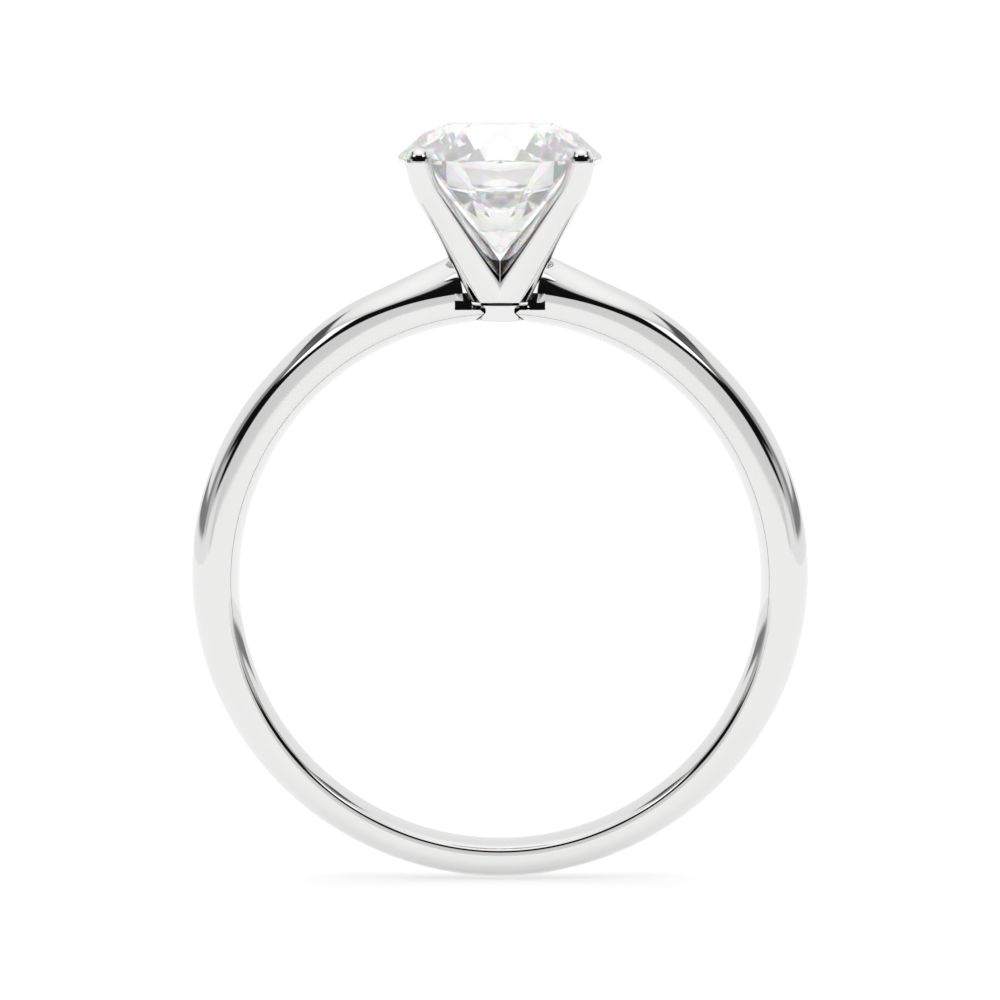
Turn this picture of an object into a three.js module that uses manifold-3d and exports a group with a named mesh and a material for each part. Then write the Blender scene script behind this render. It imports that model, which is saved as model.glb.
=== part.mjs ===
// A four-prong solitaire engagement ring: a tapered comfort-fit shank that rises to
// knife-edge shoulders, a small collar between the shank's two ends, four bent prong
// wires that stand on the collar, and a round brilliant diamond held at its girdle.
//
// Millimetres, +Z up. The origin is the centre of the finger hole, the finger runs
// along Y, and the stone is at the top.

import * as THREE from 'three';
import { ConvexGeometry } from 'three/addons/geometries/ConvexGeometry.js';
import { mergeVertices } from 'three/addons/utils/BufferGeometryUtils.js';
import Module from 'manifold-3d';

const wasm = await Module();
wasm.setup();

// ---------------------------------------------------------------- driving dimensions

const gap = 0.012;                 // clearance between neighbouring pieces

// Finger hole and shank. Heights in the band's section are measured outwards from the
// crown of the comfort-fit inner surface.
const fingerRadius = 16.51 / 2;    // US size 6
const thickness = { base: 1.2, full: 1.585 };
const fullThicknessAngle = THREE.MathUtils.degToRad(30);
const halfWidth = { base: 0.93, head: 0.83 };
const innerPower = 1.8;            // roundness of the inner surface, 2 for an ellipse
const creaseHeight = { side: 0.39, change: 0.07 };   // more at the head, less at the base
const creaseInset = 0.02;          // how far the crease lies inside the widest line
const widestHeight = { base: 0.666, shoulder: 1.096, head: 0.978 };
const domePower = { base: 2, shoulder: 1.57, head: 1.385 };

// Angles above the horizontal over which the section changes.
const widestRise = [THREE.MathUtils.degToRad(-44), THREE.MathUtils.degToRad(56.5)];
const widestFall = [THREE.MathUtils.degToRad(56), THREE.MathUtils.degToRad(84)];
const toShoulder = [0, THREE.MathUtils.degToRad(50)];
const toHead = [THREE.MathUtils.degToRad(55), THREE.MathUtils.degToRad(80)];

// The shoulders run straight to the head, as lines tangent to a circle.
const shoulderAngle = THREE.MathUtils.degToRad(65);
const shoulderRadius = 10;
const shoulderBlendStart = THREE.MathUtils.degToRad(42);

// The seat in the top of the shank. Below it a pocket is cut into the front and into the
// back, which leaves a web in the middle of the band and thin lips under the pockets.
const seatRadius = 1.43;
const seatBottom = 9.15;
const pocket = { halfLength: 1.42, bottom: 8.65, webAtBottom: 0.35, webAtTop: 0.2 };

// Collar under the prongs, flush with the finger hole, and the neck they stand on.
const collar = {
  topRadius: 0.88,
  bottomRadius: 0.81,
  bottom: 8.27,
  top: 8.78,
  round: 0.07,
  neckRadius: 0.62,
  neckTop: 8.865,
};

// Prong wires.
const prong = {
  count: 4,
  tipDistance: 3.56,               // from the head's axis to the wire's centre at the tip
  tipHeight: 13.33,
  lean: THREE.MathUtils.degToRad(40.4),
  tipLean: THREE.MathUtils.degToRad(10),
  bendRadius: 2.2,
  tipRadius: 0.41,
  baseRadius: 0.7,
  taperPower: 1.6,
  ridgeReach: 1.5,                 // from the wire's centre to its inner ridge, in radii
  ridgeTop: 12.9,                  // the ridge starts here and is full lower down
  ridgeFull: 10.2,
  beadRadius: 0.405,
  beadHeight: 0.47,
};

// Round brilliant, 1 carat.
const stone = {
  radius: 3.21,
  girdleBottom: 13.33,
  girdleTop: 13.46,
  tableTop: 14.49,
  tableShare: 0.56,
  pavilionAngle: THREE.MathUtils.degToRad(43),
  starLength: 0.5,
  lowerHalfLength: 0.77,
};

// Facet counts of the curved surfaces.
const hoopSteps = 112;
const sectionSteps = { inner: 5, face: 2, dome: 7 };
const wireSides = 24;
const girdleSides = 64;
const collarSides = 48;

// ---------------------------------------------------------------- materials

function metal() {
  return new THREE.MeshStandardMaterial({ color: 0xe9e9e7, metalness: 1, roughness: 0.06 });
}

function diamond() {
  return new THREE.MeshStandardMaterial({
    color: 0xffffff, metalness: 0, roughness: 0.02, transparent: true, opacity: 0.35,
  });
}

// ---------------------------------------------------------------- solids and booleans

function solidFrom(geometry) {
  const bare = geometry.clone();
  bare.deleteAttribute('normal');
  bare.deleteAttribute('uv');
  const merged = mergeVertices(bare, 1e-5);
  return new wasm.Manifold(new wasm.Mesh({
    numProp: 3,
    vertProperties: new Float32Array(merged.attributes.position.array),
    triVerts: new Uint32Array(merged.index.array),
  }));
}

function geometryFrom(solid) {
  const mesh = solid.getMesh();
  const geometry = new THREE.BufferGeometry();
  geometry.setAttribute('position', new THREE.BufferAttribute(mesh.vertProperties, 3));
  geometry.setIndex(new THREE.BufferAttribute(mesh.triVerts, 1));
  geometry.computeVertexNormals();
  return geometry;
}

function boxSolid(low, high) {
  const size = high.clone().sub(low);
  const middle = low.clone().add(high).multiplyScalar(0.5);
  return solidFrom(new THREE.BoxGeometry(size.x, size.y, size.z)
    .translate(middle.x, middle.y, middle.z));
}

function uprightCylinder(radius, bottom, top) {
  return solidFrom(new THREE.CylinderGeometry(radius, radius, top - bottom, collarSides)
    .rotateX(Math.PI / 2)
    .translate(0, 0, (bottom + top) / 2));
}

// Joins rings of points, each with the same number of points, into one skin. A closed
// loft joins its last ring to its first; an open one gets a flat fan at each end.
function loft(rings, closed) {
  const sides = rings[0].length;
  const points = rings.flat();
  const faces = [];
  const spans = closed ? rings.length : rings.length - 1;
  for (let i = 0; i < spans; i += 1) {
    const here = i * sides;
    const next = ((i + 1) % rings.length) * sides;
    for (let j = 0; j < sides; j += 1) {
      const k = (j + 1) % sides;
      faces.push(here + j, here + k, next + j);
      faces.push(next + j, here + k, next + k);
    }
  }
  if (!closed) {
    const last = (rings.length - 1) * sides;
    for (let j = 1; j < sides - 1; j += 1) {
      faces.push(0, j + 1, j);
      faces.push(last, last + j, last + j + 1);
    }
  }
  return new THREE.BufferGeometry().setFromPoints(points).setIndex(faces);
}

// ---------------------------------------------------------------- shank

const { clamp, lerp, smoothstep } = THREE.MathUtils;

// Radius of the shank's outer outline at an angle above the horizontal.
function outerRadius(angle) {
  const rise = smoothstep(angle, -Math.PI / 2, fullThicknessAngle);
  const round = fingerRadius + lerp(thickness.base, thickness.full, rise);
  const blended = lerp(round, shoulderRadius, smoothstep(angle, shoulderBlendStart, shoulderAngle));
  return blended / Math.cos(Math.max(angle - shoulderAngle, 0));
}

// One half of the band's section, from the inner crown to the outer crest, as points
// (across, out).
function halfSection(angle) {
  const thick = outerRadius(angle) - fingerRadius;
  const wide = lerp(halfWidth.base, halfWidth.head, smoothstep(angle, 0, shoulderAngle));
  const creaseWide = wide - creaseInset;
  const crease = creaseHeight.side + creaseHeight.change * Math.sin(angle);
  const widest = lerp(widestHeight.base, widestHeight.shoulder, smoothstep(angle, ...widestRise))
    + (widestHeight.head - widestHeight.shoulder) * smoothstep(angle, ...widestFall);
  const power = lerp(domePower.base, domePower.shoulder, smoothstep(angle, ...toShoulder))
    + (domePower.head - domePower.shoulder) * smoothstep(angle, ...toHead);
  const points = [];
  for (let i = 0; i < sectionSteps.inner; i += 1) {
    const turn = (i / sectionSteps.inner) * Math.PI / 2;
    points.push([
      creaseWide * Math.sin(turn) ** (2 / innerPower),
      crease * (1 - Math.cos(turn) ** (2 / innerPower)),
    ]);
  }
  for (let i = 0; i < sectionSteps.face; i += 1) {
    const share = i / sectionSteps.face;
    points.push([wide - creaseInset * (1 - share) ** 2, lerp(crease, widest, share)]);
  }
  for (let i = 0; i <= sectionSteps.dome; i += 1) {
    const turn = (i / sectionSteps.dome) * Math.PI / 2;
    const across = wide * Math.max(Math.cos(turn), 0) ** (2 / power);
    points.push([across, widest + (thick - widest) * Math.sin(turn) ** (2 / power)]);
  }
  return points;
}

function hoopRing(angle) {
  const near = halfSection(angle).map(([across, out]) => [-across, out]);
  const far = near.slice(1, -1).reverse().map(([across, out]) => [-across, out]);
  return [...near, ...far].map(([across, out]) => {
    const radius = fingerRadius + out;
    return new THREE.Vector3(radius * Math.cos(angle), across, radius * Math.sin(angle));
  });
}

// The hoop is symmetric about the head, so its angle runs from the bottom up each side.
function hoop() {
  const rings = [];
  for (let i = 0; i < hoopSteps; i += 1) {
    const around = (i / hoopSteps) * 2 * Math.PI;
    const fold = around <= Math.PI ? around : 2 * Math.PI - around;
    const ring = hoopRing(fold - Math.PI / 2);
    const side = around <= Math.PI ? 1 : -1;
    rings.push(ring.map((point) => new THREE.Vector3(side * point.x, point.y, point.z)));
  }
  return solidFrom(loft(rings, true));
}

// The pocket in the back of the shank: its inner wall leans away from the web's middle.
function pocketSolid() {
  const { halfLength, bottom, webAtBottom, webAtTop } = pocket;
  const outside = halfWidth.base * 2;
  const points = [];
  [-halfLength, halfLength].forEach((x) => {
    points.push(new THREE.Vector3(x, webAtBottom, bottom));
    points.push(new THREE.Vector3(x, webAtTop, seatBottom));
    points.push(new THREE.Vector3(x, webAtTop, seatBottom + gap));
    points.push(new THREE.Vector3(x, outside, bottom));
    points.push(new THREE.Vector3(x, outside, seatBottom + gap));
  });
  return solidFrom(new ConvexGeometry(points));
}

function shankSolid() {
  const skyward = shoulderRadius * 2;
  const seat = uprightCylinder(seatRadius, seatBottom, skyward);
  const collarHole = uprightCylinder(collar.topRadius + gap, 0, skyward);
  let shank = hoop().subtract(seat).subtract(collarHole);
  shank = shank.subtract(pocketSolid()).subtract(pocketSolid().rotate([0, 0, 180]));
  for (let i = 0; i < prong.count; i += 1) {
    const room = wireSolid(gap).rotate([0, 0, (i * 360) / prong.count]);
    shank = shank.subtract(room);
  }
  return shank;
}

// ---------------------------------------------------------------- collar

function collarSolid() {
  const { topRadius, bottomRadius, bottom, top, round, neckRadius, neckTop } = collar;
  const profile = [new THREE.Vector2(0, bottom)];
  const roundSteps = 3;
  for (let i = 0; i <= roundSteps; i += 1) {
    const turn = (i / roundSteps) * Math.PI / 2;
    profile.push(new THREE.Vector2(
      bottomRadius - round * (1 - Math.sin(turn)),
      bottom + round * (1 - Math.cos(turn)),
    ));
  }
  profile.push(new THREE.Vector2(topRadius, top), new THREE.Vector2(neckRadius, top));
  profile.push(new THREE.Vector2(neckRadius, neckTop), new THREE.Vector2(0, neckTop));
  return solidFrom(new THREE.LatheGeometry(profile, collarSides).rotateX(Math.PI / 2));
}

// ---------------------------------------------------------------- prongs

// Centre line of one wire in the upright plane through its tip: straight from under the
// neck's top, then bent nearly upright at the tip. Points are [distance, height, lean].
function wireLine() {
  const { tipDistance, tipHeight, lean, tipLean, bendRadius } = prong;
  const bendPoint = (tilt) => [
    tipDistance - bendRadius * (Math.cos(tipLean) - Math.cos(tilt)),
    tipHeight - bendRadius * (Math.sin(tilt) - Math.sin(tipLean)),
    tilt,
  ];
  const [startDistance, startHeight] = bendPoint(lean);
  const drop = startHeight - collar.neckTop + prong.baseRadius;
  const straightSteps = 5;
  const bendSteps = 6;
  const line = [];
  for (let i = 0; i < straightSteps; i += 1) {
    const below = drop * (1 - i / straightSteps);
    line.push([startDistance - below * Math.tan(lean), startHeight - below, lean]);
  }
  for (let i = 0; i <= bendSteps; i += 1) {
    line.push(bendPoint(lerp(lean, tipLean, i / bendSteps)));
  }
  const past = prong.beadHeight / 2;
  line.push([tipDistance + past * Math.tan(tipLean), tipHeight + past, tipLean]);
  return line;
}

function wireRadius(height) {
  const share = clamp((prong.tipHeight - height) / (prong.tipHeight - collar.neckTop), 0, 1.2);
  return lerp(prong.tipRadius, prong.baseRadius, share ** prong.taperPower);
}

// A wire's section as points [outward, sideways] in radii: round outside, and drawn in to
// a ridge on the side that faces the head's axis.
function wireSection(height) {
  const { ridgeReach, ridgeTop, ridgeFull } = prong;
  const share = clamp((ridgeTop - height) / (ridgeTop - ridgeFull), 0, 1);
  const reach = lerp(1.01, ridgeReach, Math.sqrt(share));
  const flat = Math.acos(1 / reach);
  const arc = Array.from({ length: wireSides - 1 }, (_, i) => {
    const turn = lerp(flat - Math.PI, Math.PI - flat, i / (wireSides - 2));
    return [Math.cos(turn), Math.sin(turn)];
  });
  return [[-reach, 0], ...arc];
}

// The whole wire with its bead, in the +X +Y quarter: the wire is trimmed level at its tip
// height and the bead stands on it. extra makes it fatter, as the cutter that leaves room
// for it.
function wireSolid(extra) {
  const outward = new THREE.Vector3(Math.SQRT1_2, Math.SQRT1_2, 0);
  const sideways = new THREE.Vector3(-Math.SQRT1_2, Math.SQRT1_2, 0);
  const up = new THREE.Vector3(0, 0, 1);
  const rings = wireLine().map(([distance, height, lean]) => {
    const centre = outward.clone().multiplyScalar(distance).setZ(height);
    const across = outward.clone().multiplyScalar(Math.cos(lean))
      .addScaledVector(up, -Math.sin(lean));
    const radius = wireRadius(height) + extra;
    return wireSection(height).map(([out, side]) => centre.clone()
      .addScaledVector(across, radius * out)
      .addScaledVector(sideways, radius * side));
  });
  const far = prong.tipDistance * 2;
  const trim = boxSolid(
    new THREE.Vector3(-far, -far, 0),
    new THREE.Vector3(far, far, prong.tipHeight),
  );
  return solidFrom(loft(rings, false)).intersect(trim).add(beadSolid(extra));
}

// The domed tip that laps over the stone's girdle.
function beadSolid(extra) {
  const radius = prong.beadRadius + extra;
  const height = prong.beadHeight + extra;
  const buried = 0.05;
  const profile = [new THREE.Vector2(0, -buried), new THREE.Vector2(radius, -buried)];
  const domeSteps = 6;
  for (let i = 0; i <= domeSteps; i += 1) {
    const turn = (i / domeSteps) * Math.PI / 2;
    profile.push(new THREE.Vector2(radius * Math.cos(turn), height * Math.sin(turn)));
  }
  profile[profile.length - 1].x = 0;
  const reach = prong.tipDistance * Math.SQRT1_2;
  return solidFrom(new THREE.LatheGeometry(profile, wireSides)
    .rotateX(Math.PI / 2)
    .rotateZ(Math.PI / wireSides)
    .translate(reach, reach, prong.tipHeight));
}

// One finished prong: its quarter of the head, standing on the neck, with the notch
// that seats the girdle.
function prongSolid() {
  const far = prong.tipDistance * 2;
  const quarter = boxSolid(
    new THREE.Vector3(gap / 2, gap / 2, collar.neckTop + gap),
    new THREE.Vector3(far, far, prong.tipHeight * 2),
  );
  return wireSolid(0).intersect(quarter).subtract(stoneSolid(gap));
}

// ---------------------------------------------------------------- diamond

// Points of a round brilliant. The crown's and pavilion's main facets are at odd
// multiples of 22.5 degrees, so a flat of the table faces along each of X and Y.
function stonePoints(extra) {
  const radius = stone.radius + extra;
  const { girdleTop, girdleBottom, tableTop, starLength, lowerHalfLength } = stone;
  const mainTurn = Math.PI / 8;
  const crownSlope = (tableTop - girdleTop) / (stone.radius * (1 - stone.tableShare));
  const pavilionSlope = Math.tan(stone.pavilionAngle);
  const tableRadius = radius * stone.tableShare;
  const tableFlat = tableRadius * Math.cos(mainTurn);
  const starTip = lerp(tableFlat, radius, starLength);
  const lowerTip = radius * (1 - lowerHalfLength);

  const crownHeight = (reach) => extra + (radius - reach) * crownSlope;
  const pavilionDepth = (reach) => extra + (radius - reach) * pavilionSlope;
  const at = (reach, turn, height) => (
    new THREE.Vector3(reach * Math.cos(turn), reach * Math.sin(turn), height)
  );

  const points = [at(0, 0, girdleBottom - pavilionDepth(0))];
  for (let i = 0; i < 8; i += 1) {
    const flat = i * Math.PI / 4;
    points.push(at(tableRadius, flat + mainTurn, girdleTop + crownHeight(tableRadius)));
    points.push(at(starTip, flat, girdleTop + crownHeight(starTip * Math.cos(mainTurn))));
    points.push(at(lowerTip, flat, girdleBottom - pavilionDepth(lowerTip * Math.cos(mainTurn))));
  }
  for (let i = 0; i < girdleSides; i += 1) {
    const turn = (i / girdleSides) * 2 * Math.PI;
    points.push(at(radius, turn, girdleTop + extra));
    points.push(at(radius, turn, girdleBottom - extra));
  }
  return points;
}

function stoneSolid(extra) {
  return solidFrom(new ConvexGeometry(stonePoints(extra)));
}

// ---------------------------------------------------------------- assembly

const ring = new THREE.Group();

function addPiece(name, solid, material) {
  const mesh = new THREE.Mesh(geometryFrom(solid), material);
  mesh.name = name;
  ring.add(mesh);
  return mesh;
}

addPiece('shank', shankSolid(), metal());
addPiece('head_collar', collarSolid(), metal());
['back_right', 'back_left', 'front_left', 'front_right'].forEach((place, i) => {
  const piece = addPiece(`prong_${place}`, prongSolid(), metal());
  piece.rotation.z = (i * 2 * Math.PI) / prong.count;
});
addPiece('diamond', stoneSolid(0), diamond());

export default ring;
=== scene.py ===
"""A four-prong solitaire engagement ring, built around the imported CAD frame.

Dimensions are in millimetres and become metres when a mesh is made. The origin is the
centre of the finger hole, the finger runs along Y, and the stone is at the top.
"""

import math

import bmesh
import bpy
from mathutils import Matrix, Vector


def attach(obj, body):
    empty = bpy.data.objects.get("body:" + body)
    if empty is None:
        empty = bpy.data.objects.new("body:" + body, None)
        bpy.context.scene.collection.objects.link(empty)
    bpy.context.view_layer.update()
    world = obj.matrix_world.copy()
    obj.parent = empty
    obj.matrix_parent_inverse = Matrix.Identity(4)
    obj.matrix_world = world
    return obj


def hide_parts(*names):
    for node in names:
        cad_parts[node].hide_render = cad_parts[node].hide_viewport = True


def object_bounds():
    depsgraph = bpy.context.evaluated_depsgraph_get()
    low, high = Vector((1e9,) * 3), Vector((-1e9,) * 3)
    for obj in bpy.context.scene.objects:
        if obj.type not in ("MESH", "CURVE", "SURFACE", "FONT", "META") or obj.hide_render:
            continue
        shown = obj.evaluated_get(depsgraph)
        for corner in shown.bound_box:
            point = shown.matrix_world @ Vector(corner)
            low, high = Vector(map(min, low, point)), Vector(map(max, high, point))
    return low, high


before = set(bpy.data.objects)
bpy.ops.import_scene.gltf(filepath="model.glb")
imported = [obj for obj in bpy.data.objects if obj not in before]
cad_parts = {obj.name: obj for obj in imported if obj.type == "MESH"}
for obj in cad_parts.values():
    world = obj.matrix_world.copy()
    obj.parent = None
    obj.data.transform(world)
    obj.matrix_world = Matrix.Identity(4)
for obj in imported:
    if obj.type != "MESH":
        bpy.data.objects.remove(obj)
cad_low, cad_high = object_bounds()

MM = 0.001
GAP = 0.012

# ---------------------------------------------------------------- dimensions

FINGER_RADIUS = 16.51 / 2
THICKNESS_BASE, THICKNESS_FULL = 1.2, 1.585
FULL_THICKNESS_ANGLE = math.radians(30)
HALF_WIDTH_BASE, HALF_WIDTH_HEAD = 0.93, 0.83
INNER_POWER = 1.8
CREASE_SIDE, CREASE_CHANGE = 0.39, 0.07
CREASE_INSET = 0.02
WIDEST_BASE, WIDEST_SHOULDER, WIDEST_DROP = 0.666, 1.096, 0.118
WIDEST_RISE = math.radians(-44), math.radians(56.5)
WIDEST_FALL = math.radians(56), math.radians(84)
DOME_POWER_BASE, DOME_POWER_SHOULDER, DOME_POWER_HEAD = 2.0, 1.57, 1.385
TO_SHOULDER = 0.0, math.radians(50)
TO_HEAD = math.radians(55), math.radians(80)
SHOULDER_ANGLE = math.radians(65)
SHOULDER_BLEND_START = math.radians(42)
SHOULDER_RADIUS = 10.0
SEAT_RADIUS, SEAT_BOTTOM = 1.43, 9.15
POCKET_HALF_LENGTH, POCKET_BOTTOM = 1.42, 8.65
WEB_AT_BOTTOM, WEB_AT_TOP = 0.35, 0.2

COLLAR_TOP_RADIUS, COLLAR_BOTTOM_RADIUS = 0.88, 0.81
COLLAR_BOTTOM, COLLAR_TOP, COLLAR_ROUND = 8.27, 8.78, 0.07
NECK_RADIUS, NECK_TOP = 0.62, 8.865

TIP_DISTANCE, TIP_HEIGHT = 3.56, 13.33
LEAN, TIP_LEAN, BEND_RADIUS = math.radians(40.4), math.radians(10), 2.2
TIP_RADIUS, BASE_RADIUS, TAPER_POWER = 0.41, 0.7, 1.6
RIDGE_REACH, RIDGE_SMALLEST, RIDGE_TOP, RIDGE_FULL = 1.5, 1.01, 12.9, 10.2
BEAD_RADIUS, BEAD_HEIGHT, BEAD_BURIED = 0.405, 0.47, 0.05

STONE_RADIUS = 3.21
GIRDLE_BOTTOM, GIRDLE_TOP, TABLE_TOP = 13.33, 13.46, 14.49
TABLE_SHARE, STAR_LENGTH, LOWER_HALF_LENGTH = 0.56, 0.5, 0.77
PAVILION_ANGLE = math.radians(43)

# Looks of the materials.
BAND_COLOUR, HEAD_COLOUR = (0.775, 0.775, 0.77), (0.785, 0.785, 0.78)
TONE_SCALE, TONE_DETAIL, TONE_RANGE, TONE_DROP = 240.0, 3.0, (0.35, 0.65), 0.985
ROUGHNESS_RANGE = 0.03, 0.07
# Painted shade in the head metal's crevices: occlusion reach, the occlusion range mapped to it,
# its darkest share.
PAINTED_SHADE_REACH, PAINTED_SHADE_RANGE, PAINTED_SHADE_DARKEST = 0.9, (0.35, 0.7), 0.02
PAINTED_SHADE_SAMPLES = 8
MIX_COLOUR_A, MIX_COLOUR_B, MIX_COLOUR_RESULT = 6, 7, 2      # sockets of a Mix node
RED_IOR, GREEN_IOR, BLUE_IOR = 2.405, 2.420, 2.445
FIRE_SHARE, GLOW_SHARE, GLOW_STRENGTH = 0.3, 0.05, 0.95
SMOOTH_SHARP_ANGLE, FACET_SHARP_ANGLE = 30, 5

HOOP_STEPS = 480
INNER_STEPS, FACE_STEPS, DOME_STEPS = 14, 8, 26
WIRE_SIDES, BEND_STEPS, STRAIGHT_STEPS = 64, 20, 10
BEAD_STEPS = 16
COLLAR_SIDES, ROUND_STEPS = 160, 8
GIRDLE_SIDES = 256

# ---------------------------------------------------------------- mesh helpers


def lerp(a, b, share):
    return a + (b - a) * share


def smoothstep(value, low, high):
    share = min(max((value - low) / (high - low), 0.0), 1.0)
    return share * share * (3 - 2 * share)


def object_from(name, points, faces):
    """A closed mesh object from points in millimetres, its faces turned outwards."""
    mesh = bpy.data.meshes.new(name)
    mesh.from_pydata([Vector(p) * MM for p in points], [], faces)
    outward = bmesh.new()
    outward.from_mesh(mesh)
    bmesh.ops.recalc_face_normals(outward, faces=outward.faces)
    outward.to_mesh(mesh)
    outward.free()
    made = bpy.data.objects.new(name, mesh)
    bpy.context.scene.collection.objects.link(made)
    return made


def loft(name, rings, closed):
    """Joins rings of points into one skin; an open loft gets a flat cap at each end."""
    sides = len(rings[0])
    points = [p for ring in rings for p in ring]
    faces = []
    for i in range(len(rings) if closed else len(rings) - 1):
        here, there = i * sides, (i + 1) % len(rings) * sides
        for j in range(sides):
            k = (j + 1) % sides
            faces.append((here + j, here + k, there + k, there + j))
    if not closed:
        faces.append(tuple(range(sides)))
        faces.append(tuple(range(len(points) - sides, len(points))))
    return object_from(name, points, faces)


def lathe(name, profile, sides, centre=(0, 0)):
    """Turns a profile of (radius, height) round an upright axis. Its ends are on the axis."""
    points, faces = [], []
    for radius, height in profile[1:-1]:
        for j in range(sides):
            turn = (j + 0.5) / sides * 2 * math.pi
            points.append((centre[0] + radius * math.cos(turn),
                           centre[1] + radius * math.sin(turn), height))
    for i in range(len(profile) - 3):
        for j in range(sides):
            k = (j + 1) % sides
            faces.append((i * sides + j, i * sides + k, (i + 1) * sides + k, (i + 1) * sides + j))
    for end, start in ((0, 0), (-1, len(points) - sides)):
        points.append((centre[0], centre[1], profile[end][1]))
        tip = len(points) - 1
        faces += [(start + j, start + (j + 1) % sides, tip) for j in range(sides)]
    return object_from(name, points, faces)


def box(name, low, high):
    points = [(x, y, z) for x in (low[0], high[0]) for y in (low[1], high[1])
              for z in (low[2], high[2])]
    faces = [(0, 1, 3, 2), (4, 6, 7, 5), (0, 4, 5, 1), (2, 3, 7, 6), (0, 2, 6, 4), (1, 5, 7, 3)]
    return object_from(name, points, faces)


def combine(target, tool, operation):
    """Applies one exact boolean and removes the tool."""
    modifier = target.modifiers.new(operation, "BOOLEAN")
    modifier.operation = operation
    modifier.solver = "EXACT"
    modifier.object = tool
    result = bpy.data.meshes.new_from_object(
        target.evaluated_get(bpy.context.evaluated_depsgraph_get()))
    target.modifiers.clear()
    target.data = result
    bpy.data.objects.remove(tool)
    return target


def shade(piece, sharp_degrees):
    piece.data.shade_smooth()
    piece.data.set_sharp_from_angle(angle=math.radians(sharp_degrees))


def place(piece, node, material):
    """Makes a finished piece stand for its CAD node."""
    piece.name = node + "_polished"
    piece.data.materials.clear()
    piece.data.materials.append(material)
    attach(piece, "root")
    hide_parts(node)


# ---------------------------------------------------------------- shank


def outer_radius(angle):
    rise = smoothstep(angle, -math.pi / 2, FULL_THICKNESS_ANGLE)
    round_radius = FINGER_RADIUS + lerp(THICKNESS_BASE, THICKNESS_FULL, rise)
    blend = smoothstep(angle, SHOULDER_BLEND_START, SHOULDER_ANGLE)
    return lerp(round_radius, SHOULDER_RADIUS, blend) / math.cos(max(angle - SHOULDER_ANGLE, 0))


def half_section(angle):
    """From the inner crown to the outer crest, as points (across, out)."""
    thick = outer_radius(angle) - FINGER_RADIUS
    wide = lerp(HALF_WIDTH_BASE, HALF_WIDTH_HEAD, smoothstep(angle, 0, SHOULDER_ANGLE))
    crease_wide = wide - CREASE_INSET
    crease = CREASE_SIDE + CREASE_CHANGE * math.sin(angle)
    widest = lerp(WIDEST_BASE, WIDEST_SHOULDER, smoothstep(angle, *WIDEST_RISE))
    widest -= WIDEST_DROP * smoothstep(angle, *WIDEST_FALL)
    power = lerp(DOME_POWER_BASE, DOME_POWER_SHOULDER, smoothstep(angle, *TO_SHOULDER))
    power += (DOME_POWER_HEAD - DOME_POWER_SHOULDER) * smoothstep(angle, *TO_HEAD)
    points = []
    for i in range(INNER_STEPS):
        turn = i / INNER_STEPS * math.pi / 2
        points.append((crease_wide * math.sin(turn) ** (2 / INNER_POWER),
                       crease * (1 - math.cos(turn) ** (2 / INNER_POWER))))
    for i in range(FACE_STEPS):
        share = i / FACE_STEPS
        points.append((wide - CREASE_INSET * (1 - share) ** 2, lerp(crease, widest, share)))
    for i in range(DOME_STEPS + 1):
        turn = i / DOME_STEPS * math.pi / 2
        points.append((wide * max(math.cos(turn), 0) ** (2 / power),
                       widest + (thick - widest) * math.sin(turn) ** (2 / power)))
    return points


def hoop():
    rings = []
    for i in range(HOOP_STEPS):
        around = i / HOOP_STEPS * 2 * math.pi
        angle = min(around, 2 * math.pi - around) - math.pi / 2
        side = 1 if around <= math.pi else -1
        half = half_section(angle)
        section = half + [(-across, out) for across, out in half[-2:0:-1]]
        rings.append([(side * (FINGER_RADIUS + out) * math.cos(angle), across,
                       (FINGER_RADIUS + out) * math.sin(angle)) for across, out in section])
    return loft("hoop", rings, True)


def pocket():
    """The pocket in the back of the shank; its inner wall leans away from the web."""
    outside, top = HALF_WIDTH_BASE * 2, SEAT_BOTTOM + GAP
    corners = ((WEB_AT_BOTTOM, POCKET_BOTTOM), (outside, POCKET_BOTTOM), (outside, top),
               (WEB_AT_TOP, top), (WEB_AT_TOP, SEAT_BOTTOM))
    rings = [[(x, y, z) for y, z in corners]
             for x in (-POCKET_HALF_LENGTH, POCKET_HALF_LENGTH)]
    return loft("pocket", rings, False)


# ---------------------------------------------------------------- head


def wire_line():
    """The centre line of a wire in the upright plane through its tip, as points
    (distance, height, lean)."""
    def bend_point(tilt):
        return (TIP_DISTANCE - BEND_RADIUS * (math.cos(TIP_LEAN) - math.cos(tilt)),
                TIP_HEIGHT - BEND_RADIUS * (math.sin(tilt) - math.sin(TIP_LEAN)), tilt)

    start_distance, start_height, _ = bend_point(LEAN)
    drop = start_height - NECK_TOP + BASE_RADIUS
    line = []
    for i in range(STRAIGHT_STEPS):
        below = drop * (1 - i / STRAIGHT_STEPS)
        line.append((start_distance - below * math.tan(LEAN), start_height - below, LEAN))
    line += [bend_point(lerp(LEAN, TIP_LEAN, i / BEND_STEPS)) for i in range(BEND_STEPS + 1)]
    past = BEAD_HEIGHT / 2
    line.append((TIP_DISTANCE + past * math.tan(TIP_LEAN), TIP_HEIGHT + past, TIP_LEAN))
    return line


def wire_radius(height):
    share = min(max((TIP_HEIGHT - height) / (TIP_HEIGHT - NECK_TOP), 0), 1.2)
    return lerp(TIP_RADIUS, BASE_RADIUS, share ** TAPER_POWER)


def wire_section(height):
    """A wire's section as points (outward, sideways) in radii: round outside, and drawn in
    to a ridge on the side that faces the head's axis."""
    share = min(max((RIDGE_TOP - height) / (RIDGE_TOP - RIDGE_FULL), 0), 1)
    reach = lerp(RIDGE_SMALLEST, RIDGE_REACH, math.sqrt(share))
    flat = math.acos(1 / reach)
    turns = [lerp(flat - math.pi, math.pi - flat, i / (WIRE_SIDES - 2))
             for i in range(WIRE_SIDES - 1)]
    return [(-reach, 0)] + [(math.cos(t), math.sin(t)) for t in turns]


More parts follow.
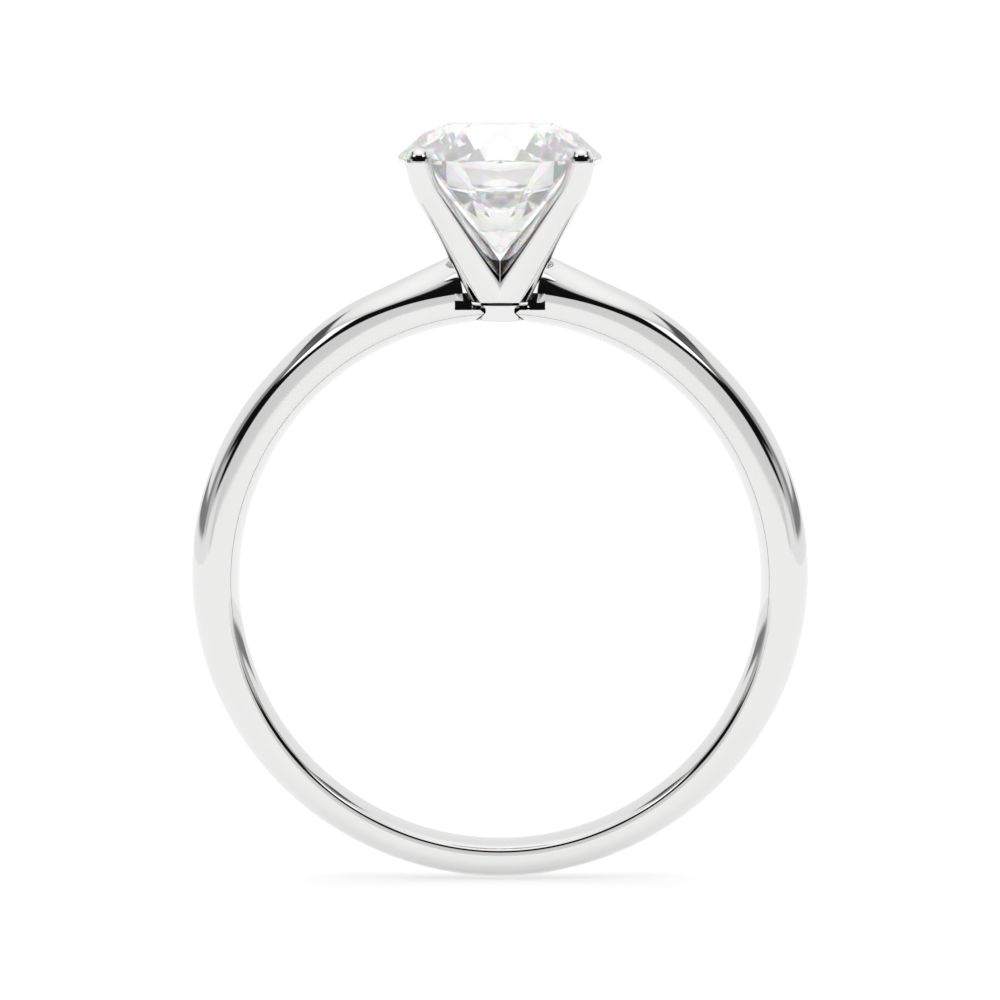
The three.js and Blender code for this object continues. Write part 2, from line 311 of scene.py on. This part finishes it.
def wire(extra):
    """The whole wire with its bead, in the +X +Y quarter. extra makes it fatter."""
    outward = Vector((1, 1, 0)).normalized()
    sideways = Vector((-1, 1, 0)).normalized()
    rings = []
    for distance, height, lean in wire_line():
        centre = outward * distance + Vector((0, 0, height))
        across = outward * math.cos(lean) - Vector((0, 0, math.sin(lean)))
        radius = wire_radius(height) + extra
        rings.append([centre + across * radius * out + sideways * radius * side
                      for out, side in wire_section(height)])
    far = TIP_DISTANCE * 2
    made = loft("wire", rings, False)
    combine(made, box("trim", (-far, -far, 0), (far, far, TIP_HEIGHT)), "INTERSECT")
    radius, height = BEAD_RADIUS + extra, BEAD_HEIGHT + extra
    profile = [(0, TIP_HEIGHT - BEAD_BURIED), (radius, TIP_HEIGHT - BEAD_BURIED)]
    for i in range(BEAD_STEPS + 1):
        turn = i / BEAD_STEPS * math.pi / 2
        profile.append((radius * math.cos(turn), TIP_HEIGHT + height * math.sin(turn)))
    reach = TIP_DISTANCE * math.sqrt(0.5)
    return combine(made, lathe("bead", profile, WIRE_SIDES, (reach, reach)), "UNION")


def prong():
    far = TIP_DISTANCE * 2
    quarter = box("quarter", (GAP / 2, GAP / 2, NECK_TOP + GAP), (far, far, far * 3))
    made = combine(wire(0), quarter, "INTERSECT")
    return combine(made, stone(GAP), "DIFFERENCE")


def collar():
    profile = [(0, COLLAR_BOTTOM)]
    for i in range(ROUND_STEPS + 1):
        turn = i / ROUND_STEPS * math.pi / 2
        profile.append((COLLAR_BOTTOM_RADIUS - COLLAR_ROUND * (1 - math.sin(turn)),
                        COLLAR_BOTTOM + COLLAR_ROUND * (1 - math.cos(turn))))
    profile += [(COLLAR_TOP_RADIUS, COLLAR_TOP), (NECK_RADIUS, COLLAR_TOP),
                (NECK_RADIUS, NECK_TOP), (0, NECK_TOP)]
    return lathe("collar", profile, COLLAR_SIDES)


def turned(piece, quarters):
    piece.data.transform(Matrix.Rotation(quarters * math.pi / 2, 4, "Z"))
    return piece


# ---------------------------------------------------------------- stone


def stone(extra):
    """A round brilliant: a short cylinder whose facets are cut one plane at a time."""
    radius = STONE_RADIUS + extra
    main_turn = math.pi / 8
    crown_slope = (TABLE_TOP - GIRDLE_TOP) / (STONE_RADIUS * (1 - TABLE_SHARE))
    pavilion_slope = math.tan(PAVILION_ANGLE)
    table_flat = radius * TABLE_SHARE * math.cos(main_turn)
    star_tip = lerp(table_flat, radius, STAR_LENGTH)
    lower_tip = radius * (1 - LOWER_HALF_LENGTH)

    def at(reach, turn, height):
        return Vector((reach * math.cos(turn), reach * math.sin(turn), height))

    def crown(reach):
        return GIRDLE_TOP + extra + (radius - reach) * crown_slope

    def pavilion(reach):
        return GIRDLE_BOTTOM - extra - (radius - reach) * pavilion_slope

    table = crown(radius * TABLE_SHARE)
    planes = [(at(0, 0, table), Vector((0, 0, 1)))]

    def add_plane(a, b, c):
        normal = (b - a).cross(c - a).normalized()
        middle = Vector((0, 0, GIRDLE_TOP))
        planes.append((a, normal if normal.dot(a - middle) > 0 else -normal))

    for i in range(8):
        flat = i * math.pi / 4
        main = flat + main_turn
        star = at(star_tip, flat, crown(star_tip * math.cos(main_turn)))
        next_star = at(star_tip, flat + 2 * main_turn, star.z)
        corner = at(radius * TABLE_SHARE, main, table)
        add_plane(star, corner, at(radius * TABLE_SHARE, main - 2 * main_turn, table))
        add_plane(star, corner, next_star)
        lower = at(lower_tip, flat, pavilion(lower_tip * math.cos(main_turn)))
        add_plane(at(0, 0, pavilion(0)), lower, at(lower_tip, flat + 2 * main_turn, lower.z))
        for turn in (main, main - 2 * main_turn):
            add_plane(star, at(radius, turn, GIRDLE_TOP + extra),
                      at(radius, flat, GIRDLE_TOP + extra))
            add_plane(lower, at(radius, turn, GIRDLE_BOTTOM - extra),
                      at(radius, flat, GIRDLE_BOTTOM - extra))
    blank = bmesh.new()
    bmesh.ops.create_cone(blank, cap_ends=True, segments=GIRDLE_SIDES, radius1=radius,
                          radius2=radius, depth=STONE_RADIUS * 4,
                          matrix=Matrix.Translation((0, 0, GIRDLE_TOP)))
    for point, normal in planes:
        cut = bmesh.ops.bisect_plane(
            blank, geom=blank.verts[:] + blank.edges[:] + blank.faces[:], dist=1e-5,
            plane_co=point, plane_no=normal, clear_outer=True)
        edges = [e for e in cut["geom_cut"] if isinstance(e, bmesh.types.BMEdge)]
        open_edges = [e for e in edges if e.is_boundary]
        if open_edges:
            bmesh.ops.contextual_create(blank, geom=open_edges)
    bmesh.ops.recalc_face_normals(blank, faces=blank.faces)
    bmesh.ops.scale(blank, vec=(MM, MM, MM), verts=blank.verts)
    mesh = bpy.data.meshes.new("stone")
    blank.to_mesh(mesh)
    blank.free()
    made = bpy.data.objects.new("stone", mesh)
    bpy.context.scene.collection.objects.link(made)
    return made


# ---------------------------------------------------------------- materials


def new_material(name):
    material = bpy.data.materials.new(name)
    material.use_nodes = True
    material.node_tree.nodes.clear()
    return material, material.node_tree.nodes, material.node_tree.links


def metal(name, colour, paint_crevice_shade):
    """Mirror-polished white metal whose tone and roughness vary slightly with noise. Where its
    last argument is true, painted shade darkens its colour where surfaces stand close together."""
    material, nodes, links = new_material(name)
    out = nodes.new("ShaderNodeOutputMaterial")
    shader = nodes.new("ShaderNodeBsdfPrincipled")
    shader.inputs["Metallic"].default_value = 1.0
    coordinates = nodes.new("ShaderNodeTexCoord")
    tone = nodes.new("ShaderNodeTexNoise")
    tone.inputs["Scale"].default_value = TONE_SCALE
    tone.inputs["Detail"].default_value = TONE_DETAIL
    ramp = nodes.new("ShaderNodeValToRGB")
    darker, lighter = ramp.color_ramp.elements
    darker.position, lighter.position = TONE_RANGE
    darker.color = [c * TONE_DROP for c in colour] + [1]
    lighter.color = list(colour) + [1]
    gloss = nodes.new("ShaderNodeMapRange")
    gloss.inputs["To Min"].default_value, gloss.inputs["To Max"].default_value = ROUGHNESS_RANGE
    links.new(coordinates.outputs["Object"], tone.inputs["Vector"])
    links.new(tone.outputs["Fac"], ramp.inputs["Fac"])
    links.new(tone.outputs["Fac"], gloss.inputs["Value"])
    links.new(ramp.outputs["Color"], shader.inputs["Base Color"])
    # Painted shade: an ambient occlusion node darkens the base colour where surfaces stand close
    # together.
    if paint_crevice_shade:
        crevice_shade_occlusion = nodes.new("ShaderNodeAmbientOcclusion")
        crevice_shade_occlusion.samples = PAINTED_SHADE_SAMPLES
        crevice_shade_occlusion.inputs["Distance"].default_value = PAINTED_SHADE_REACH * MM
        unshaded_share = nodes.new("ShaderNodeMapRange")
        unshaded_share.inputs["From Min"].default_value = PAINTED_SHADE_RANGE[0]
        unshaded_share.inputs["From Max"].default_value = PAINTED_SHADE_RANGE[1]
        unshaded_share.inputs["To Min"].default_value = PAINTED_SHADE_DARKEST
        painted_shade = nodes.new("ShaderNodeMix")
        painted_shade.data_type = "RGBA"
        painted_shade.blend_type = "MULTIPLY"
        painted_shade.inputs["Factor"].default_value = 1.0
        links.new(crevice_shade_occlusion.outputs["AO"], unshaded_share.inputs["Value"])
        links.new(ramp.outputs["Color"], painted_shade.inputs[MIX_COLOUR_A])
        links.new(unshaded_share.outputs["Result"], painted_shade.inputs[MIX_COLOUR_B])
        links.new(painted_shade.outputs[MIX_COLOUR_RESULT], shader.inputs["Base Color"])
    links.new(gloss.outputs["Result"], shader.inputs["Roughness"])
    links.new(shader.outputs["BSDF"], out.inputs["Surface"])
    return material


def diamond_material():
    """Clear glass with a share of it split into three colours, mixed with some emission,
    which makes the stone paler than glass alone."""
    material, nodes, links = new_material("diamond")

    def glass(colour, ior):
        node = nodes.new("ShaderNodeBsdfGlass")
        node.inputs["Color"].default_value = colour
        node.inputs["IOR"].default_value = ior
        node.inputs["Roughness"].default_value = 0.0
        return node.outputs["BSDF"]

    def join(kind, first, second, factor=None):
        node = nodes.new(kind)
        if factor is not None:
            node.inputs["Fac"].default_value = factor
        links.new(first, node.inputs[-2])
        links.new(second, node.inputs[-1])
        return node.outputs["Shader"]

    fire = join("ShaderNodeAddShader", glass((1, 0, 0, 1), RED_IOR),
                glass((0, 1, 0, 1), GREEN_IOR))
    fire = join("ShaderNodeAddShader", fire, glass((0, 0, 1, 1), BLUE_IOR))
    body = join("ShaderNodeMixShader", glass((1, 1, 1, 1), GREEN_IOR), fire, FIRE_SHARE)
    glow = nodes.new("ShaderNodeEmission")
    glow.inputs["Strength"].default_value = GLOW_STRENGTH
    body = join("ShaderNodeMixShader", body, glow.outputs["Emission"], GLOW_SHARE)
    out = nodes.new("ShaderNodeOutputMaterial")
    links.new(body, out.inputs["Surface"])
    return material


# ---------------------------------------------------------------- assembly

band_metal = metal("band_metal_polished", BAND_COLOUR, False)
# The head metal carries painted shade, darker where its parts stand close together.
head_metal = metal("head_metal_polished", HEAD_COLOUR, True)
stone_material = diamond_material()

shank = hoop()
skyward = SHOULDER_RADIUS * 2
for radius, bottom in ((SEAT_RADIUS, SEAT_BOTTOM), (COLLAR_TOP_RADIUS + GAP, 0)):
    profile = [(0, bottom), (radius, bottom), (radius, skyward), (0, skyward)]
    combine(shank, lathe("cutter", profile, COLLAR_SIDES), "DIFFERENCE")
for quarters in (0, 2):
    combine(shank, turned(pocket(), quarters), "DIFFERENCE")
for quarter in range(4):
    combine(shank, turned(wire(GAP), quarter), "DIFFERENCE")
shade(shank, SMOOTH_SHARP_ANGLE)
place(shank, "shank", band_metal)

head_collar = collar()
shade(head_collar, SMOOTH_SHARP_ANGLE)
place(head_collar, "head_collar", head_metal)

first_prong = prong()
shade(first_prong, SMOOTH_SHARP_ANGLE)
for quarter, spot in enumerate(("back_right", "back_left", "front_left", "front_right")):
    copy = bpy.data.objects.new("prong", first_prong.data.copy())
    bpy.context.scene.collection.objects.link(copy)
    place(turned(copy, quarter), "prong_" + spot, head_metal)
bpy.data.objects.remove(first_prong)

brilliant = stone(0)
shade(brilliant, FACET_SHARP_ANGLE)
place(brilliant, "diamond", stone_material)

# ---------------------------------------------------------------- floor, light, camera

floor_height = cad_low.z
FLOOR_HALF, FLOOR_WHITE, FLOOR_GLOW = 0.15, 0.85, 0.45
corners = ((-1, -1), (1, -1), (1, 1), (-1, 1))
floor_mesh = bpy.data.meshes.new("floor")
floor_mesh.from_pydata(
    [(x * FLOOR_HALF, y * FLOOR_HALF, floor_height) for x, y in corners], [], [(0, 1, 2, 3)])
floor = bpy.data.objects.new("floor", floor_mesh)
bpy.context.scene.collection.objects.link(floor)
floor_material, nodes, links = new_material("floor_light_table")
out = nodes.new("ShaderNodeOutputMaterial")
paper = nodes.new("ShaderNodeBsdfDiffuse")
paper.inputs["Color"].default_value = (FLOOR_WHITE, FLOOR_WHITE, FLOOR_WHITE, 1)
glow = nodes.new("ShaderNodeEmission")
glow.inputs["Strength"].default_value = FLOOR_GLOW
both = nodes.new("ShaderNodeAddShader")
links.new(paper.outputs["BSDF"], both.inputs[0])
links.new(glow.outputs["Emission"], both.inputs[1])
links.new(both.outputs["Shader"], out.inputs["Surface"])
floor_mesh.materials.append(floor_material)

world = bpy.data.worlds.new("studio")
bpy.context.scene.world = world
world.use_nodes = True
nodes, links = world.node_tree.nodes, world.node_tree.links
nodes.clear()


def calculate(operation, first, second=None):
    """A Math node on sockets or numbers, and its result."""
    node = nodes.new("ShaderNodeMath")
    node.operation = operation
    for socket, value in zip(node.inputs, (first, second)):
        if isinstance(value, bpy.types.NodeSocket):
            links.new(value, socket)
        elif value is not None:
            socket.default_value = value
    return node.outputs["Value"]


def rise(value, start, end):
    """A Map Range node: 0 below start, 1 above end, smooth between them."""
    node = nodes.new("ShaderNodeMapRange")
    node.interpolation_type = "SMOOTHSTEP"
    node.inputs["From Min"].default_value = start
    node.inputs["From Max"].default_value = end
    links.new(value, node.inputs["Value"])
    return node.outputs["Result"]


def window(value, low, high, soft):
    return calculate("SUBTRACT", rise(value, low - soft, low + soft),
                     rise(value, high - soft, high + soft))


def cover(level, mask, panel_level):
    """Lays a panel of one brightness over what is already there."""
    node = nodes.new("ShaderNodeMix")
    links.new(mask, node.inputs["Factor"])
    links.new(level, node.inputs["A"])
    node.inputs["B"].default_value = panel_level
    return node.outputs["Result"]


out = nodes.new("ShaderNodeOutputWorld")
direction = nodes.new("ShaderNodeTexCoord")
axes = nodes.new("ShaderNodeSeparateXYZ")
links.new(direction.outputs["Generated"], axes.inputs["Vector"])
RADIANS_TO_DEGREES = 180 / math.pi
elevation = calculate("MULTIPLY", calculate("ARCSINE", axes.outputs["Z"]), RADIANS_TO_DEGREES)
turn = calculate("ARCTAN2", calculate("ABSOLUTE", axes.outputs["X"]),
                 calculate("MULTIPLY", axes.outputs["Y"], -1.0))
turn = calculate("MULTIPLY", turn, RADIANS_TO_DEGREES)

# The surround is SIDE_LEVEL bright and brightens to OVERHEAD_LEVEL between the two
# elevations. Dark, grey and bright panels are laid over it in this order, the same on the
# left and right: (turn from the front, turn to, elevation from, elevation to, softness,
# level), with angles in degrees.
SIDE_LEVEL, OVERHEAD_LEVEL, OVERHEAD_FROM, OVERHEAD_TO = 0.96, 1.28, 45.0, 85.0
BACKDROP_LEVEL = 1.05
PANELS = (
    (-20, 28, -12, 9, 6.0, 0.78),
    (-20, 90, 7, 55, 8.0, 0.60),
    (-20, 86, 9, 50, 3.0, 0.006),
    (62, 100, 2, 19, 5.0, 0.6),
    (86, 128, 40, 51, 3.0, 0.10),
    (84, 140, 2, 9, 3.0, 0.25),
    (86, 104, 5, 45, 8.0, 0.28),
    (44, 76, 38, 52, 4.0, 1.6),
)
level = calculate("ADD", SIDE_LEVEL, calculate(
    "MULTIPLY", rise(elevation, OVERHEAD_FROM, OVERHEAD_TO), OVERHEAD_LEVEL - SIDE_LEVEL))
for turn_from, turn_to, low, high, soft, panel in PANELS:
    mask = calculate("MULTIPLY", window(turn, turn_from, turn_to, soft),
                     window(elevation, low, high, soft / 2))
    level = cover(level, mask, panel)
# Rays refracted out of the stone see a surround made whiter by this share, which keeps the
# facets pale. The camera itself sees an even white backdrop.
STONE_FILL = 0.3
path = nodes.new("ShaderNodeLightPath")
level = cover(level, calculate("MULTIPLY", path.outputs["Is Transmission Ray"], STONE_FILL), 1.0)
lit = nodes.new("ShaderNodeBackground")
lit.inputs["Color"].default_value = (1, 1, 1, 1)
links.new(level, lit.inputs["Strength"])
backdrop = nodes.new("ShaderNodeBackground")
backdrop.inputs["Color"].default_value = (1, 1, 1, 1)
backdrop.inputs["Strength"].default_value = BACKDROP_LEVEL
choose = nodes.new("ShaderNodeMixShader")
links.new(path.outputs["Is Camera Ray"], choose.inputs["Fac"])
links.new(lit.outputs["Background"], choose.inputs[1])
links.new(backdrop.outputs["Background"], choose.inputs[2])
links.new(choose.outputs["Shader"], out.inputs["Surface"])

CAMERA_DISTANCE, CAMERA_ELEVATION = 0.17, math.radians(6.4)
AIM_ABOVE_ORIGIN = math.radians(0.863)
LENS, SENSOR = 192.8, 36.0
CLIP_START, CLIP_END = 0.001, 5.0
camera_data = bpy.data.cameras.new("camera")
camera_data.lens, camera_data.sensor_width = LENS, SENSOR
camera_data.clip_start, camera_data.clip_end = CLIP_START, CLIP_END
camera = bpy.data.objects.new("camera", camera_data)
bpy.context.scene.collection.objects.link(camera)
camera.location = (0, -CAMERA_DISTANCE * math.cos(CAMERA_ELEVATION),
                   CAMERA_DISTANCE * math.sin(CAMERA_ELEVATION))
camera.rotation_euler = (math.pi / 2 - CAMERA_ELEVATION + AIM_ABOVE_ORIGIN, 0, 0)
bpy.context.scene.camera = camera
bpy.context.scene.view_settings.view_transform = "Standard"
cycles = bpy.context.scene.cycles
cycles.max_bounces = 24
cycles.transmission_bounces = 24
cycles.glossy_bounces = 12
